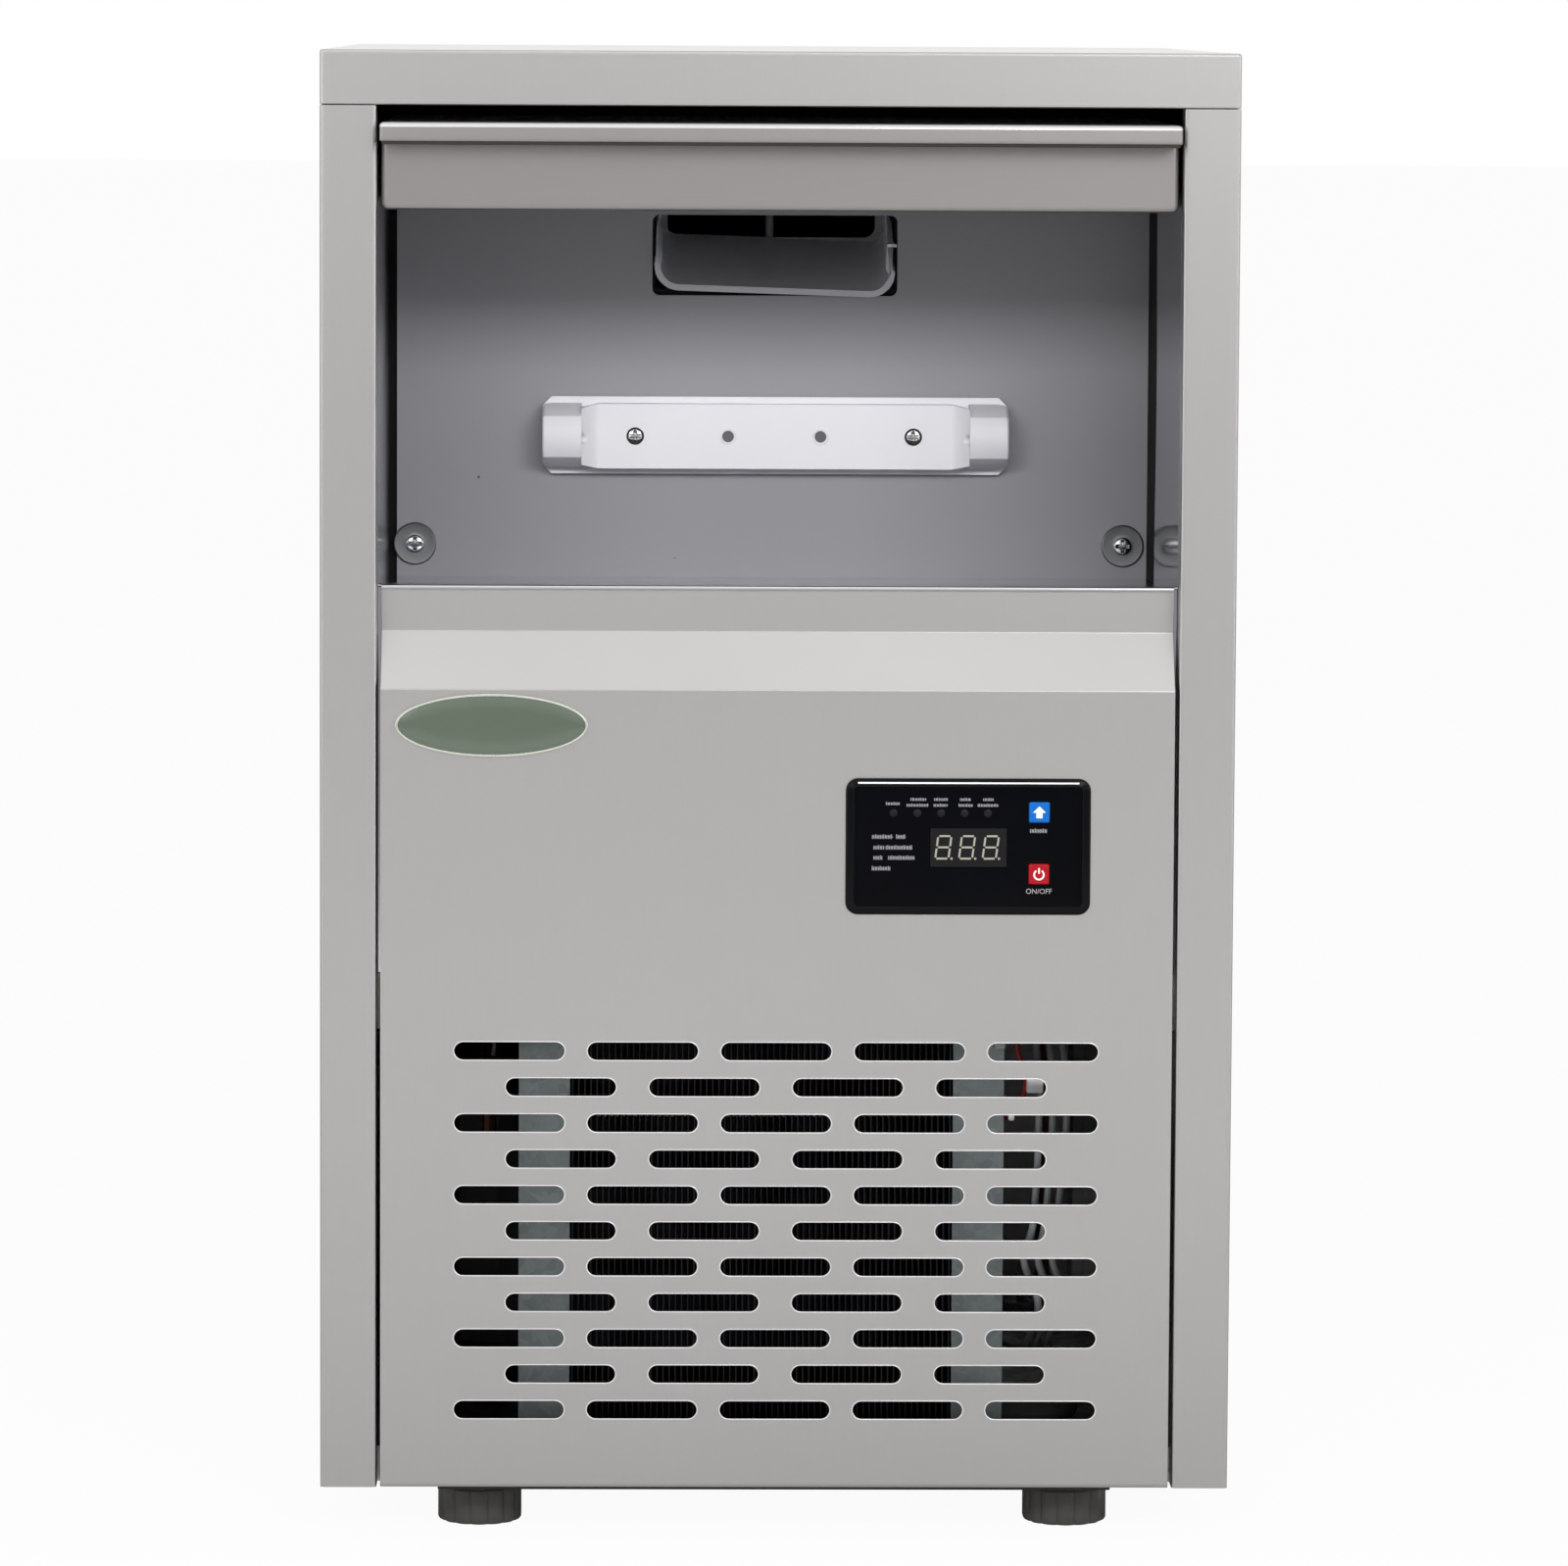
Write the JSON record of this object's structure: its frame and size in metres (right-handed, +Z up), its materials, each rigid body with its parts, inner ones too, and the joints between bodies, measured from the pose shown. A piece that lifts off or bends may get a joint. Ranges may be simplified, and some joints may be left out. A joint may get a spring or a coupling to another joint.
{
  "type": "flake ice maker",
  "caption": "Free-standing flake ice maker with a sliding, drop-down bin door, auger evaporator, grille, control panel and levelling feet.",
  "frame": {"origin": "centre of the bounding box in plan, at the floor under the feet", "axes": "+Z up, -Y out of the front of the machine, +X to the right as seen from the front"},
  "size_m": [0.38, 0.509, 0.6206],
  "materials": {
    "stainless": "satin",
    "polished": "polished",
    "galvanised": "satin",
    "copper": "satin",
    "bronze": "satin",
    "cast_aluminium": "matte",
    "motor_casing": "satin",
    "enamel": "satin",
    "fins": "satin",
    "dark_plastic": "matte",
    "grey_plastic": "matte",
    "chute_plastic": "satin",
    "white_plastic": "satin",
    "gloss_black": "gloss",
    "display": "gloss",
    "blue": "satin",
    "red": "satin",
    "badge_green": "satin",
    "board": "matte",
    "foam": "matte",
    "black_foam": "matte",
    "hose": "satin",
    "float": "matte"
  },
  "bodies": {
    "cabinet": {"base_pan": "galvanised", "left_side_panel": "stainless", "right_side_panel": "stainless", "back_panel": "stainless", "top_cover": "stainless", "front_panel": "stainless", "sill_trim": "polished", "bin_liner": "polished", "bin_insulation": "foam", "bin_bulkhead": "galvanised", "bin_back_panel": "grey_plastic", "bin_screw_left": "polished", "bin_screw_right": "polished", "bin_drain": "hose", "ice_sensor_bar": "white_plastic", "sensor_screw_left": "polished", "sensor_screw_right": "polished", "ice_chute": "chute_plastic", "left_track": "galvanised", "right_track": "galvanised", "control_bezel": "gloss_black", "control_board": "board", "display_module": "display", "badge_plate": "badge_green", "condenser_core": "fins", "condenser_bracket_left": "galvanised", "condenser_bracket_right": "galvanised", "fan_shroud": "enamel", "fan_motor": "motor_casing", "compressor": "enamel", "discharge_pipe": "copper", "suction_pipe": "copper", "liquid_line": "copper", "drive_motor": "motor_casing", "gearbox_housing": "cast_aluminium", "water_seal_housing": "cast_aluminium", "evaporator_tube": "polished", "evaporator_jacket": "black_foam", "ice_head": "cast_aluminium", "water_tank": "white_plastic", "inlet_valve": "white_plastic", "fill_pipe": "hose", "feed_pipe": "hose", "electrical_box": "galvanised"},
    "carriage": {"left_slide_shoe": "white_plastic", "right_slide_shoe": "white_plastic"},
    "door": {"door_skin": "stainless", "door_pan": "stainless", "pivot_rod": "polished"},
    "mode_button": {"mode_button": "blue"},
    "power_button": {"power_button": "red"},
    "fan": {"fan_blades": "dark_plastic"},
    "auger": {"auger": "polished", "drive_gear": "bronze"},
    "pinion": {"motor_pinion": "polished"},
    "float": {"tank_float": "float"},
    "foot_front_left": {"foot_front_left": "dark_plastic"},
    "foot_front_right": {"foot_front_right": "dark_plastic"},
    "foot_rear_left": {"foot_rear_left": "dark_plastic"},
    "foot_rear_right": {"foot_rear_right": "dark_plastic"}
  },
  "joints": [
    {"name": "door_slide", "type": "slide", "parent": "cabinet", "child": "carriage", "axis": [0, -1, 0], "range_m": [0, 0.153]},
    {"name": "door_swing", "type": "hinge", "parent": "carriage", "child": "door", "pos_m": [0, -0.0645, 0.571], "axis": [1, 0, 0], "range_deg": [0, 90]},
    {"name": "mode_button_press", "type": "slide", "parent": "cabinet", "child": "mode_button", "axis": [0, 1, 0], "range_m": [0, 0.0008], "stiffness_N_per_m": 800},
    {"name": "power_button_press", "type": "slide", "parent": "cabinet", "child": "power_button", "axis": [0, 1, 0], "range_m": [0, 0.0008], "stiffness_N_per_m": 800},
    {"name": "fan_spin", "type": "hinge", "parent": "cabinet", "child": "fan", "pos_m": [-0.0054, -0.1652, 0.119], "axis": [0, 1, 0], "continuous": true},
    {"name": "auger_spin", "type": "hinge", "parent": "cabinet", "child": "auger", "pos_m": [0.002, 0.0945, 0.1479], "axis": [0, 0, 1], "continuous": true},
    {"name": "pinion_spin", "type": "hinge", "parent": "cabinet", "child": "pinion", "pos_m": [0.05, 0.0945, 0.1479], "axis": [0, 0, 1], "continuous": true},
    {"name": "float_rise", "type": "slide", "parent": "cabinet", "child": "float", "axis": [0, 0, 1], "range_m": [0, 0.06]},
    {"name": "foot_front_left_height", "type": "slide", "parent": "cabinet", "child": "foot_front_left", "axis": [0, 0, -1], "range_m": [0, 0.008]},
    {"name": "foot_front_right_height", "type": "slide", "parent": "cabinet", "child": "foot_front_right", "axis": [0, 0, -1], "range_m": [0, 0.008]},
    {"name": "foot_rear_left_height", "type": "slide", "parent": "cabinet", "child": "foot_rear_left", "axis": [0, 0, -1], "range_m": [0, 0.008]},
    {"name": "foot_rear_right_height", "type": "slide", "parent": "cabinet", "child": "foot_rear_right", "axis": [0, 0, -1], "range_m": [0, 0.008]}
  ],
  "couplings": [
    {"joint": "door_swing", "follows": "door_slide", "rad_per_m": 10.267},
    {"joint": "pinion_spin", "follows": "auger_spin", "ratio": -3}
  ]
}
